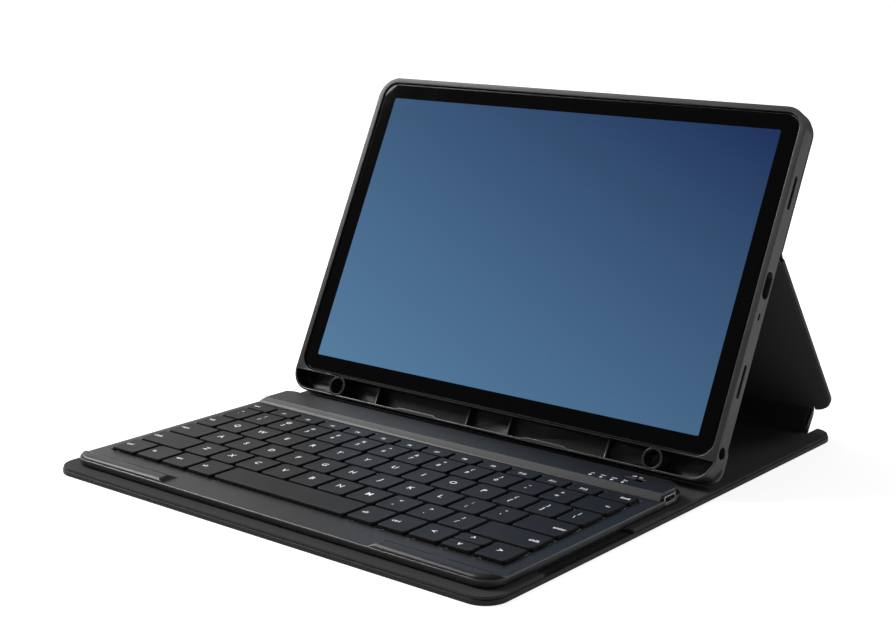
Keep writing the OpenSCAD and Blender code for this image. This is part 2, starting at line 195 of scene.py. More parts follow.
class Graph(Tree):
    """One material's node tree, which ends in a Principled shader."""

    # A Mix node's sockets for colours stand after those for numbers and vectors.
    FIRST_COLOUR, SECOND_COLOUR, MIXED_COLOUR = 6, 7, 2

    def __init__(self, name, **constants):
        self.material = bpy.data.materials.new(name)
        self.material.use_nodes = True
        super().__init__(self.material.node_tree, "Principled BSDF")
        for key, value in constants.items():
            self.end.inputs[key.replace("_", " ")].default_value = value

    def place(self):
        return self.node("ShaderNodeTexCoord", output="Object")

    def noise(self, scale, detail=3.0, rough=0.5):
        sockets = {"Vector": self.place(), "Scale": scale, "Detail": detail, "Roughness": rough}
        return self.node("ShaderNodeTexNoise", None, sockets)

    def cells(self, scale):
        return self.node("ShaderNodeTexVoronoi", None, {"Vector": self.place(), "Scale": scale})

    def mix(self, factor, first, second):
        """Goes from one colour to another; each is three numbers or a Value."""
        first, second = (end if isinstance(end, Value) else (*end, 1) for end in (first, second))
        sockets = {"Factor": factor, self.FIRST_COLOUR: first, self.SECOND_COLOUR: second}
        return self.node("ShaderNodeMix", {"data_type": "RGBA"}, sockets, self.MIXED_COLOUR)

    def bump(self, height, depth):
        sockets = {"Height": height, "Distance": depth, "Strength": 1.0}
        self.feed(Normal=self.node("ShaderNodeBump", None, sockets))


def shade(colour, factor):
    """A colour made lighter or darker."""
    return tuple(channel * factor for channel in colour[:3])


def leather(name, colour):
    """Fine pebbled synthetic leather."""
    graph = Graph(name, Specular_IOR_Level=0.25)
    pebble = graph.cells(1150)
    crease = graph.noise(420, 4.0)
    graph.feed(
        Base_Color=graph.mix(graph.noise(60), shade(colour, 0.8), shade(colour, 1.25)),
        Roughness=0.38 + crease * 0.2,
    )
    graph.bump(pebble * 0.7 + crease * 0.6, 0.05 * MM)
    return graph.material


def microfibre(colour):
    """Short-napped lining, a little lighter where the nap is brushed."""
    graph = Graph("folio_lining", Sheen_Weight=0.12, Sheen_Roughness=0.5)
    nap = graph.noise(2600, 3.0, 0.6)
    brushed = graph.noise(38, 2.0)
    graph.feed(
        Base_Color=graph.mix(brushed * 0.5 + nap * 0.5, shade(colour, 0.7), shade(colour, 1.3)),
        Roughness=0.78 + nap * 0.16,
    )
    graph.bump(nap + brushed * 0.4, 0.05 * MM)
    return graph.material


def moulded(name, colour, rough, grain=4200, depth=0.012, gloss=0.5):
    """Moulded plastic with a fine spark-eroded texture."""
    graph = Graph(name, Specular_IOR_Level=gloss)
    grain_height = graph.noise(grain, 2.0, 0.6)
    handled = graph.noise(55, 3.0)
    graph.feed(
        Base_Color=graph.mix(handled, shade(colour, 0.88), shade(colour, 1.12)),
        Roughness=rough - 0.05 + handled * 0.1,
    )
    graph.bump(grain_height, depth * MM)
    return graph.material


def metal(name, colour, rough):
    """Metal with faint brushing along X."""
    graph = Graph(name, Metallic=1.0)
    stretch = graph.node(
        "ShaderNodeMapping", None, {"Vector": graph.place(), "Scale": (120, 4200, 4200)}
    )
    lines = graph.node("ShaderNodeTexNoise", None, {"Vector": stretch, "Scale": 1.0})
    graph.feed(
        Base_Color=graph.mix(lines, shade(colour, 0.85), shade(colour, 1.1)),
        Roughness=rough - 0.08 + lines * 0.16,
    )
    graph.bump(lines, 0.004 * MM)
    return graph.material


def board(name, colour):
    """Pressed board, cell wrap or circuit laminate: mottled and matte."""
    graph = Graph(name)
    fleck = graph.noise(900, 4.0)
    graph.feed(
        Base_Color=graph.mix(fleck, shade(colour, 0.7), shade(colour, 1.3)),
        Roughness=0.6 + fleck * 0.2,
    )
    graph.bump(fleck, 0.03 * MM)
    return graph.material


def cover_glass(name, rough):
    """Black glass with a faint film of handling."""
    graph = Graph(name, IOR=1.38, Specular_IOR_Level=0.3)
    film = graph.noise(45, 4.0)
    graph.feed(
        Base_Color=graph.mix(film, (0.0014, 0.0014, 0.0018), (0.0022, 0.0022, 0.0026)),
        Roughness=rough + film * 0.05,
    )
    return graph.material


def legend_ink(name, colour, glow):
    """Print with slight wear, or a light pipe, that glows a little; on print the glow is painted
    light.
    """
    graph = Graph(name, Emission_Strength=glow, Emission_Color=(*colour, 1))
    wear = graph.noise(1800, 2.0)
    graph.feed(
        Base_Color=graph.mix(wear, shade(colour, 0.86), colour),
        Roughness=0.45 + wear * 0.1,
    )
    return graph.material


def wallpaper(settings):
    """A lit plain picture: one colour that runs into another from corner to corner."""
    graph = Graph(
        "screen_picture", Base_Color=(0.001, 0.001, 0.0014, 1), Roughness=0.06, IOR=1.38,
        Specular_IOR_Level=0.3, Emission_Strength=settings.brightness,
    )
    place = graph.node("ShaderNodeUVMap")
    across = graph.node("ShaderNodeSeparateXYZ", None, {0: place}, "X")
    height = graph.node("ShaderNodeSeparateXYZ", None, {0: place}, "Y")
    diagonal = across * 0.4 + height * 0.6
    picture = graph.mix(diagonal, settings.picture_low, settings.picture_high)
    graph.feed(Emission_Color=picture)
    return graph.material


# ---------------------------------------------------------------- making meshes
ROUNDED_ANGLE = math.radians(32)  # edges that turn outwards by more than this are rounded
WELD = 0.002 * MM  # points of the frame that are nearer than this are one point


def piece(name, mesh, body, material, replaces=(), edge=None):
    """A finished object on its body, with its material and perhaps another for its edges."""
    made = bpy.data.objects.new(name, mesh)
    bpy.context.scene.collection.objects.link(made)
    mesh.materials.append(material)
    if edge:
        mesh.materials.append(edge)
    if body:
        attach(made, body)
    if replaces:
        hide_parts(*replaces)
    return made


def finish_normals(made, angle=40):
    """Smooth shading that keeps the edges sharper than an angle in degrees."""
    made.data.shade_smooth()
    made.data.set_sharp_from_angle(angle=math.radians(angle))
    weighted = made.modifiers.new("weighted normals", "WEIGHTED_NORMAL")
    weighted.keep_sharp = True


def mesh_from(build, name):
    """A mesh that the function build fills through bmesh."""
    shape = bmesh.new()
    build(shape)
    bmesh.ops.recalc_face_normals(shape, faces=shape.faces)
    mesh = bpy.data.meshes.new(name)
    shape.to_mesh(mesh)
    shape.free()
    return mesh


def softened(node, name, material, width, segments=2, rim=None, edge=None):
    """A node's own shape with its edges rounded, in the node's place.

    rim holds a wider rounding for the edges near the outline, and how near those are;
    edge is the material of the rounded edges, only those near the outline where rim is given; it
    is lighter, a painted highlight on those edges."""
    source = frame["nodes"][node]
    low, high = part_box(node)

    def on_rim(line):
        middle = (line.verts[0].co + line.verts[1].co) / 2
        gaps = (middle.x - low.x, high.x - middle.x, middle.y - low.y, high.y - middle.y)
        return min(gaps) < rim[1]

    def round_off(shape, corners, size, slot):
        bmesh.ops.bevel(
            shape, geom=corners, offset=size, offset_type="OFFSET", segments=segments,
            profile=0.5, affect="EDGES", clamp_overlap=False, loop_slide=False, material=slot,
        )

    def sharp(shape):
        return [line for line in shape.edges if line.calc_face_angle_signed(0) > ROUNDED_ANGLE]

    def build(shape):
        shape.from_mesh(source.data)
        bmesh.ops.remove_doubles(shape, verts=shape.verts, dist=WELD)
        for face in shape.faces:
            face.material_index = 0
        slot = 1 if edge else 0
        if rim:
            round_off(shape, [line for line in sharp(shape) if not on_rim(line)], width, 0)
            round_off(shape, [line for line in sharp(shape) if on_rim(line)], rim[0], slot)
        else:
            round_off(shape, sharp(shape), width, slot)

    mesh = mesh_from(build, name)
    made = piece(name, mesh, source["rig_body"], material, [node], edge)
    finish_normals(made)


def paint(node, material):
    """Gives a node that keeps its own mesh a material."""
    made = frame["nodes"][node]
    made.data.materials.clear()
    made.data.materials.append(material)


def round_rect(width, depth, radius, corner_steps):
    """Points of a rectangle with round corners about the origin, anticlockwise."""
    points = []
    for turn, (sx, sy) in enumerate(((1, 1), (-1, 1), (-1, -1), (1, -1))):
        for step in range(corner_steps + 1):
            angle = math.radians(90 * (turn + step / corner_steps))
            x = sx * (width / 2 - radius) + radius * math.cos(angle)
            y = sy * (depth / 2 - radius) + radius * math.sin(angle)
            points.append((x, y))
    return points


def loft(shape, rings):
    """Joins rings of the same number of points into a closed skin."""
    made = [[shape.verts.new(point) for point in ring] for ring in rings]
    count = len(made[0])
    for lower, upper in zip(made, made[1:]):
        for at in range(count):
            after = (at + 1) % count
            shape.faces.new((lower[at], lower[after], upper[after], upper[at]))
    shape.faces.new(list(reversed(made[0])))
    shape.faces.new(made[-1])


# ---------------------------------------------------------------- settings
class FolioSettings(bpy.types.PropertyGroup):
    """Leather, lining and folds."""

    leather_colour: bpy.props.FloatVectorProperty(
        name="Leather", description="Colour of the outer leather", subtype="COLOR",
        size=3, min=0, max=1, default=(0.01, 0.01, 0.0108),
    )
    lining_colour: bpy.props.FloatVectorProperty(
        name="Lining", description="Colour of the soft lining", subtype="COLOR",
        size=3, min=0, max=1, default=(0.019, 0.019, 0.0198),
    )
    leather_thickness: bpy.props.FloatProperty(
        name="Leather thickness", description="Thickness of the leather at the folds",
        default=0.8 * MM, unit="LENGTH",
    )
    edge_round: bpy.props.FloatProperty(
        name="Edge rounding", description="Rounding of the panels' edges",
        default=0.4 * MM, unit="LENGTH",
    )


class CaseSettings(bpy.types.PropertyGroup):
    """The moulded case and the tablet in it."""

    case_colour: bpy.props.FloatVectorProperty(
        name="Case", description="Colour of the moulded case", subtype="COLOR",
        size=3, min=0, max=1, default=(0.022, 0.022, 0.0235),
    )
    housing_colour: bpy.props.FloatVectorProperty(
        name="Housing", description="Colour of the tablet's housing", subtype="COLOR",
        size=3, min=0, max=1, default=(0.17, 0.175, 0.18),
    )
    bezel: bpy.props.FloatProperty(
        name="Bezel", description="Width of the black border round the picture",
        default=8.1 * MM, unit="LENGTH",
    )
    picture_low: bpy.props.FloatVectorProperty(
        name="Picture, lower left", description="Screen colour at the lower left",
        subtype="COLOR", size=3, min=0, max=1, default=(0.09, 0.2, 0.34),
    )
    picture_high: bpy.props.FloatVectorProperty(
        name="Picture, upper right", description="Screen colour at the upper right",
        subtype="COLOR", size=3, min=0, max=1, default=(0.012, 0.03, 0.1),
    )
    brightness: bpy.props.FloatProperty(
        name="Brightness", description="Emission strength of the screen", default=1.0, min=0,
    )


class KeyboardSettings(bpy.types.PropertyGroup):
    """The keyboard's mouldings, caps and legends."""

    housing_colour: bpy.props.FloatVectorProperty(
        name="Frame", description="Colour of the keyboard's frame", subtype="COLOR",
        size=3, min=0, max=1, default=(0.016, 0.016, 0.0175),
    )
    cap_colour: bpy.props.FloatVectorProperty(
        name="Caps", description="Colour of the key caps", subtype="COLOR",
        size=3, min=0, max=1, default=(0.01, 0.01, 0.0112),
    )
    legend_colour: bpy.props.FloatVectorProperty(
        name="Legends", description="Colour of the printed legends", subtype="COLOR",
        size=3, min=0, max=1, default=(0.75, 0.75, 0.76),
    )
    cap_taper: bpy.props.FloatProperty(
        name="Cap taper", description="How far a cap's sides lean in",
        default=0.35 * MM, unit="LENGTH",
    )
    cap_dish: bpy.props.FloatProperty(
        name="Cap dish", description="Depth of the hollow in a cap's top",
        default=0.1 * MM, unit="LENGTH",
    )
    letter_height: bpy.props.FloatProperty(
        name="Letter size", description="Type size of the letters",
        default=4.5 * MM, unit="LENGTH",
    )


class StageSettings(bpy.types.PropertyGroup):
    """Camera, lights and floor."""

    lens: bpy.props.FloatProperty(
        name="Lens", description="Focal length in millimetres on a 36 mm sensor",
        default=66.36, unit="CAMERA",
    )
    camera_place: bpy.props.FloatVectorProperty(
        name="Camera", description="Where the camera stands", size=3,
        default=(0.48205, -0.60409, 0.2456), subtype="TRANSLATION",
    )
    camera_turn: bpy.props.FloatVectorProperty(
        name="Camera turn", description="Azimuth, downward pitch and roll", size=3,
        default=tuple(map(math.radians, (38.994, 12.99, 0.267))), subtype="EULER",
    )
    left: bpy.props.FloatProperty(
        name="Left light", description="Power of the large light on the left",
        default=24, min=0, unit="POWER",
    )
    top: bpy.props.FloatProperty(
        name="Top light", description="Power of the light above", default=1.5, min=0, unit="POWER",
    )
    back: bpy.props.FloatProperty(
        name="Back light", description="Power of the light behind", default=6, min=0, unit="POWER",
    )
    floor_glow: bpy.props.FloatProperty(
        name="Floor glow", description="How much the white floor lights itself",
        default=0.82, min=0,
    )


SETTINGS = (
    ("kc_folio", FolioSettings),
    ("kc_case", CaseSettings),
    ("kc_keyboard", KeyboardSettings),
    ("kc_stage", StageSettings),
)


# ---------------------------------------------------------------- folio
BAND_STEPS = 16  # along the bend
BAND_COLUMNS = 40  # across the folio
BAND_SINK = 0.06 * MM  # how deep a band's ends go into the panels
BAND_WAVE = 0.05 * MM  # height of the slight waves along a bend


def bezier(start, start_way, end_way, end, count):
    """Points of a curve from start to end that leaves and arrives along the given ways."""
    reach = (end - start).length * 0.42
    first = start + start_way * reach
    second = end - end_way * reach
    points = []
    for step in range(count + 1):
        t = step / count
        s = 1 - t
        points.append(start * s**3 + first * 3 * s * s * t + second * 3 * s * t * t + end * t**3)
    return points


def fold_band(name, ends, half_width, thickness, sink, material, swell=(0, 0)):
    """A strip of leather or lining that bends across one fold.

    ends holds (point, way) of the outer face's two ends; sink is the way into the strip, and
    swell is how much thicker it is at each end."""
    (start, start_way), (end, end_way) = ends
    path = bezier(start, start_way, end_way, end, BAND_STEPS)
    between = [(after - before).normalized() for before, after in zip(path, path[2:])]
    normals = [Vector((0, -way.z, way.y)) * sink for way in (start_way, *between, end_way)]

    def add_row(shape, at, side):
        """Points across the band at one step along it, on its outer or its inner side."""
        bend = math.sin(math.pi * at / BAND_STEPS)
        ease = 0.5 - 0.5 * math.cos(math.pi * at / BAND_STEPS)
        deep = thickness + swell[0] * (1 - ease) + swell[1] * ease
        swollen = swell[0] if at * 2 < BAND_STEPS else swell[1]
        buried = 0 if swollen else BAND_SINK * (1 - bend) ** 3
        row = []
        for column in range(BAND_COLUMNS + 1):
            x = half_width * (2 * column / BAND_COLUMNS - 1)
            wave = BAND_WAVE * math.sin(x * 90 + at * 0.5) * bend
            offset = normals[at] * (buried + wave + side * deep)
            row.append(shape.verts.new(path[at] + offset + Vector((x, 0, 0))))
        return row

    def build(shape):
        outer, inner = (
            [add_row(shape, at, side) for at in range(BAND_STEPS + 1)] for side in (0, 1)
        )
        for row in range(BAND_STEPS):
            for column in range(BAND_COLUMNS):
                for grid in (outer, inner):
                    shape.faces.new(
                        (grid[row][column], grid[row][column + 1],
                         grid[row + 1][column + 1], grid[row + 1][column])
                    )
            for column in (0, BAND_COLUMNS):
                shape.faces.new(
                    (outer[row][column], outer[row + 1][column],
                     inner[row + 1][column], inner[row][column])
                )
        for row in (0, BAND_STEPS):
            for column in range(BAND_COLUMNS):
                shape.faces.new(
                    (outer[row][column], outer[row][column + 1],
                     inner[row][column + 1], inner[row][column])
                )

    made = piece(name, mesh_from(build, name), None, material)
    made.data.shade_smooth()
    made.data.set_sharp_from_angle(angle=math.radians(50))
    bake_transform(made)


class KC_OT_folio_panels(bpy.types.Operator):
    """Base, leg and upper back panels with their leather and lining"""

    bl_idname = "kc.folio_panels"
    bl_label = "Folio panels"

    def execute(self, context):
        settings = context.scene.kc_folio
        skin = leather("folio_leather", settings.leather_colour)
        # The rounded panel edges get a lighter leather: a painted highlight, for the light that
        # catches them.
        leather_edge_highlight = leather("folio_edge_highlight", shade(settings.leather_colour, 2.5))
        lining = microfibre(settings.lining_colour)
        stiff = board("folio_board", (0.016, 0.0155, 0.015))
        steel = metal("folio_magnet", (0.55, 0.55, 0.57), 0.35)
        soft = settings.edge_round
        for node in ("base_skin", "leg_skin", "back_skin"):
            softened(node, node.replace("_skin", "_leather"), skin, soft, 3, edge=leather_edge_highlight)
        for node in ("base_lining", "leg_lining"):
            softened(node, node.replace("_lining", "_cloth"), lining, soft * 0.8, 3)
        softened("spine_skin", "spine_leather", skin, soft * 0.3)
        softened("spine_lining", "spine_cloth", lining, soft * 0.3)
        for node in ("base_board", "leg_board", "back_board", "spine_stay"):
            paint(node, stiff)
        for node in ("base_magnets", "leg_magnets", "channel_magnets"):
            paint(node, steel)
        return {"FINISHED"}


class KC_OT_folds(bpy.types.Operator):
    """Leather and lining strips that bend across the folio's three folds"""

    bl_idname = "kc.folds"
    bl_label = "Folds"

    def execute(self, context):
        leather_depth = context.scene.kc_folio.leather_thickness
        cloth_depth = leather_depth * 0.8
        skin = bpy.data.materials["folio_leather"]
        lining = bpy.data.materials["folio_lining"]
        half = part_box("spine_skin")[1].x
        half_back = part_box("back_skin")[1].x - 0.6 * MM
        reach = 2.6 * MM  # how far a band runs over a panel
        back = Vector((0, 1, 0))

        spine_near, spine_far = span("spine_skin", SPINE_IN)[0], span("spine_lining", SPINE_IN)[1]
        leg_near, leg_far = span("leg_skin", LEG_IN)[0], span("leg_lining", LEG_IN)[1]
        back_near = span("back_skin", OUT)[0]
        spine_length = (KNEE - BASE_FOLD).length
        leg_length = (CREASE - KNEE).length

        def on_spine(along, place):
            return BASE_FOLD + SPINE_UP * along + SPINE_IN * (place - BASE_FOLD.dot(SPINE_IN))

        def on_leg(along, place):
            return KNEE + LEG_UP * along + LEG_IN * (place - KNEE.dot(LEG_IN))

        def on_back(along, place):
            return UP * (CREASE.dot(UP) + along) + OUT * place

        # The spine bulges outwards: two thickened bands meet at its middle.
        bulge = 2.4 * MM
        swell = bulge - 0.4 * MM
        middle = on_spine(spine_length * 0.5, spine_near - bulge)
        low = Vector((0, BASE_FOLD.y - reach, 0))
        low_top = Vector((0, low.y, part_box("base_lining")[1].z))
        fold_band(
            "base_fold_leather", ((low, back), (middle, SPINE_UP)),
            half, leather_depth, 1, skin, (0, swell),
        )
        fold_band(
            "base_fold_cloth",
            ((low_top, back), (on_spine(reach, spine_far), SPINE_UP)),
            half, cloth_depth, -1, lining,
        )
        knee_end = on_leg(reach + 1 * MM, leg_near)
        fold_band(
            "knee_fold_leather", ((middle, SPINE_UP), (knee_end, LEG_UP)),
            half, leather_depth, 1, skin, (swell, 0),
        )
        knee_start = on_spine(spine_length - 3 * MM, spine_far)
        knee_end = on_leg(4 * MM, leg_far)
        fold_band(
            "knee_fold_cloth", ((knee_start, SPINE_UP), (knee_end, LEG_UP)),
            half, cloth_depth, -1, lining,
        )
        crease_start = on_leg(leg_length - 1.2 * reach, leg_near)
        crease_end = on_back(1.4 * reach, back_near)
        fold_band(
            "crease_fold_leather", ((crease_start, LEG_UP), (crease_end, UP)),
            half_back, leather_depth, 1, skin,
        )
        crease_start = on_leg(leg_length - 1.6 * reach, leg_far)
        crease_end = on_back(0.2 * reach, back_near + 2.7 * MM)
        fold_band(
            "crease_fold_cloth", ((crease_start, LEG_UP), (crease_end, UP)),
            half_back, cloth_depth, -1, lining,
        )
        return {"FINISHED"}


# ---------------------------------------------------------------- case and tablet
class KC_OT_case(bpy.types.Operator):
    """Moulded case with its channel rings and button covers"""

    bl_idname = "kc.case"
    bl_label = "Case"

    def execute(self, context):
        settings = context.scene.kc_case
        shell = moulded("case_tpu", settings.case_colour, 0.36, 5200, 0.006)
        ring = moulded("case_ring", shade(settings.case_colour, 1.3), 0.3, 6000, 0.004)
        # The case's rounded edges get a lighter colour: a painted highlight, for the light that
        # catches them.
        edge_highlight = moulded("case_edge_highlight", shade(settings.case_colour, 3.5), 0.26, 5200, 0.003)
        softened("case_shell", "case_body", shell, 0.38 * MM, 3, edge=edge_highlight)
        softened("channel_rings", "case_rings", ring, 0.2 * MM, 3)
        for node in ("power_button", "volume_button"):
            softened(node, node + "_cover", shell, 0.35 * MM, 3)
        return {"FINISHED"}


class KC_OT_tablet(bpy.types.Operator):
    """Tablet housing, glass, lit picture and cameras"""

    bl_idname = "kc.tablet"
    bl_label = "Tablet"

    def execute(self, context):
        settings = context.scene.kc_case
        body = metal("tablet_body", settings.housing_colour, 0.4)
        glass = cover_glass("tablet_glass", 0.03)
        lens = cover_glass("tablet_lens", 0.02)
        softened("tablet_housing", "tablet_shell", body, 0.4 * MM, 3)
        softened("tablet_glass", "tablet_cover_glass", glass, 0.4 * MM, 3)
        softened("tablet_camera", "tablet_rear_camera", lens, 0.4 * MM, 3)
        paint("tablet_battery", board("tablet_cell", (0.1, 0.11, 0.13)))
        paint("tablet_board", board("tablet_circuit", CIRCUIT_GREEN))
        self.picture(settings)
        self.front_camera(settings)
        self.connector()
        return {"FINISHED"}

    def picture(self, settings):
        """The lit picture, a thin sheet just over the glass and inside its black border."""
        low_x, high_x = span("tablet_glass", ACROSS)
        low, high = span("tablet_glass", UP)
        face = span("tablet_glass", OUT)[1] + 0.02 * MM
        width = high_x - low_x - 2 * settings.bezel
        height = high - low - 2 * settings.bezel
        middle = (low + high) / 2

        def build(shape):
            outline = round_rect(width, height, 0.9 * MM, 4)
            under = [case_point(x, middle + y, face - 0.015 * MM) for x, y in outline]
            upper = [case_point(x, middle + y, face) for x, y in outline]
            loft(shape, [under, upper])
            layer = shape.loops.layers.uv.new("picture")
            for bit in shape.faces:
                for loop in bit.loops:
                    co = loop.vert.co
                    loop[layer].uv = (co.x / width + 0.5, (co.dot(UP) - middle) / height + 0.5)

        mesh = mesh_from(build, "tablet_picture")
        piece("tablet_picture", mesh, "tablet", wallpaper(settings))

    def front_camera(self, settings):
        """A small lens in the middle of the upper border."""
        face = span("tablet_glass", OUT)[1]
        top = span("tablet_glass", UP)[1] - settings.bezel / 2
        lens = cover_glass("front_lens", 0.01)

        def build(shape):
            rings = []
            for radius, out in ((1.5, 0.0), (1.5, 0.02), (1.2, 0.03), (0.5, 0.02)):
                turns = [math.tau * step / 32 for step in range(32)]
                rings.append([
                    case_point(
                        radius * MM * math.cos(turn), top + radius * MM * math.sin(turn),
                        face + out * MM,
                    )
                    for turn in turns
                ])
            loft(shape, rings)

        mesh = mesh_from(build, "tablet_front_camera")
        piece("tablet_front_camera", mesh, "tablet", lens)

    def connector(self):
        """USB-C shell and tongue in the housing's right side."""
        side = span("tablet_housing", ACROSS)[1]
        low, high = span("tablet_housing", UP)
        back, face = span("tablet_housing", OUT)
        up = (low + high) / 2 + 0.6 * MM
        out = (back + span("tablet_glass", OUT)[1]) / 2 - 0.25 * MM
        mouth = side - 0.03 * MM

        def ring(x, length, height):
            points = round_rect(length * MM, height * MM, height * MM * 0.48, 5)
            return [case_point(x, up + a, out + b) for a, b in points]

        def build(shape):
            outside, inside, tongue = (8.9, 2.7), (8.2, 2.1), (6.6, 0.7)
            loft(shape, [
                ring(mouth - 4.5 * MM, *outside), ring(mouth, *outside),
                ring(mouth, *inside), ring(mouth - 4.2 * MM, *inside),
            ])
            loft(shape, [ring(mouth - 4.1 * MM, *tongue), ring(mouth - 0.6 * MM, *tongue)])

        steel = metal("connector_steel", (0.75, 0.76, 0.78), 0.25)
        mesh = mesh_from(build, "tablet_connector")
        finish_normals(piece("tablet_connector", mesh, "tablet", steel), 50)


# ---------------------------------------------------------------- keyboard housing
class KC_OT_keyboard_housing(bpy.types.Operator):
    """Keyboard frame, cover, feet, port, lights, switch and inner parts"""

    bl_idname = "kc.keyboard_housing"
    bl_label = "Keyboard housing"

    def execute(self, context):
        settings = context.scene.kc_keyboard
        housing = moulded("kb_housing", settings.housing_colour, 0.38, 5200, 0.005, 0.36)
        rubber = moulded("kb_rubber", (0.015, 0.015, 0.015), 0.75)
        steel = metal("kb_steel", (0.5, 0.51, 0.53), 0.3)
        dark = moulded("kb_cap_dark", (0.05, 0.05, 0.052), 0.4)
        # The frame's rounded outline edges get a lighter colour: a painted highlight, for the
        # light that catches them.
        edge_highlight = moulded("kb_edge_highlight", shade(settings.housing_colour, 5), 0.26, 5200, 0.003)
        softened(
            "kb_top", "keyboard_frame", housing, 0.28 * MM, 3, rim=(0.4 * MM, 3.4 * MM), edge=edge_highlight
        )
        softened("kb_bottom", "keyboard_cover", housing, 0.25 * MM)
        softened("kb_feet", "keyboard_feet", rubber, 0.1 * MM)
        softened("kb_port", "keyboard_port", steel, 0.15 * MM)
        softened("kb_screws", "keyboard_screws", steel, 0.15 * MM)
        softened("kb_switch", "keyboard_switch", dark, 0.15 * MM)
        light = legend_ink("kb_light", (0.8, 0.83, 0.88), 0.35)
        softened("kb_lights", "keyboard_lights", light, 0.1 * MM)
        paint("kb_magnets", steel)
        paint("kb_plate", steel)
        paint("kb_domes", board("kb_sheet", (0.7, 0.7, 0.66)))
        paint("kb_board", board("kb_circuit", CIRCUIT_GREEN))
        paint("kb_cells", board("kb_cell_wrap", (0.12, 0.15, 0.22)))
        return {"FINISHED"}


# ---------------------------------------------------------------- keys
# Each key node's legends from left to right; two in a pair stand one above the other.
LEGENDS = {
    "key_esc": ["esc"],
    "keys_function": ["F%d" % number for number in range(1, 13)],
    "key_lock": ["lock"],
    "keys_number": [("~", "`")] + list(zip("!@#$%^&*()_+", "1234567890-=")),
    "key_backspace": ["<-"],
    "key_tab": ["tab"],
    "keys_upper": list("QWERTYUIOP") + [("{", "["), ("}", "]"), ("|", "\\")],
    "key_caps": ["caps"],
    "keys_home": list("ASDFGHJKL") + [(":", ";"), ('"', "'")],
    "key_enter": ["enter"],
    "key_shift_left": ["shift"],
    "keys_lower": list("ZXCVBNM") + [("<", ","), (">", "."), ("?", "/")],
    "key_shift_right": ["shift"],
    "keys_modifier": ["ctrl", "fn", "opt", "alt"],
    "key_space": [""],
    "keys_option": ["alt", "ctrl"],
    "key_arrow_left": ["<"],
    "key_arrow_up": ["^"],
    "key_arrow_down": ["v"],
    "key_arrow_right": [">"],
}


def cap_rings(low, high, taper, dish):
    """Rings of points up a key cap's side and over its hollowed top."""
    middle = (low + high) / 2
    width = high.x - low.x
    depth = high.y - low.y
    top = high.z
    # how far in and how high each ring is
    levels = (
        (0.0, low.z), (0.0, low.z + 0.35 * MM), (taper * 0.75, top - 0.3 * MM),
        (taper, top - 0.14 * MM), (taper + 0.1 * MM, top - 0.04 * MM), (taper + 0.28 * MM, top),
        (taper + 1.6 * MM, top - dish * 0.3), (taper + 3.2 * MM, top - dish * 0.75),
    )
    rings = []
    for inset, z in levels:
        radius = max(0.35 * MM, 1.3 * MM - inset * 0.4)
        points = round_rect(width - 2 * inset, depth - 2 * inset, radius, 4)
        rings.append([Vector((middle.x + x, middle.y + y, z)) for x, y in points])
    return rings


class KC_OT_key_caps(bpy.types.Operator):
    """Tapered and hollowed caps in every key's place"""

    bl_idname = "kc.key_caps"
    bl_label = "Key caps"

    def execute(self, context):
        settings = context.scene.kc_keyboard
        plastic = moulded("kb_cap", settings.cap_colour, 0.42, 6000, 0.004, 0.18)
        for node in LEGENDS:
            boxes = loose_boxes(node)

            def build(shape):
                for low, high in boxes:
                    loft(shape, cap_rings(low, high, settings.cap_taper, settings.cap_dish))

            body = frame["nodes"][node]["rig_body"]
            mesh = mesh_from(build, node + "_caps")
            made = piece(node + "_caps", mesh, body, plastic, [node])
            finish_normals(made, 60)
        return {"FINISHED"}


# Each kind of legend: its share of the letter size, and how many millimetres its middle
# stands to the right of and above the cap's middle.
LETTER_MARK = (1.0, -0.8, 0.4)
UPPER_MARK = (0.72, -1.6, 2.6)
LOWER_MARK = (0.82, -1.6, -2.0)
FUNCTION_MARK = (0.6, 0, -1.2)
WORD_MARK = (0.66, 0, 0)
RIGHT_WORDS = ("key_enter", "key_backspace", "key_shift_right", "key_lock")
INK_THICKNESS = 0.012 * MM
INK_GAP = 0.004 * MM  # a legend's middle over the surface under it
STROKE_SWELL = 0.016  # how much the strokes are thickened, for each size of type


def text_mesh(text, size):
    """A thin flat mesh of one legend, centred on the origin."""
    curve = bpy.data.curves.new("legend", "FONT")
    curve.body = text
    curve.size = size
    curve.align_x = "CENTER"
    curve.align_y = "CENTER"
    curve.resolution_u = 3
    curve.extrude = INK_THICKNESS
    curve.offset = size * STROKE_SWELL
    writer = bpy.data.objects.new("legend", curve)
    bpy.context.scene.collection.objects.link(writer)
    bpy.context.view_layer.update()
    solved = writer.evaluated_get(bpy.context.evaluated_depsgraph_get())
    mesh = bpy.data.meshes.new_from_object(solved)
    bpy.data.objects.remove(writer)
    bpy.data.curves.remove(curve)
    return mesh


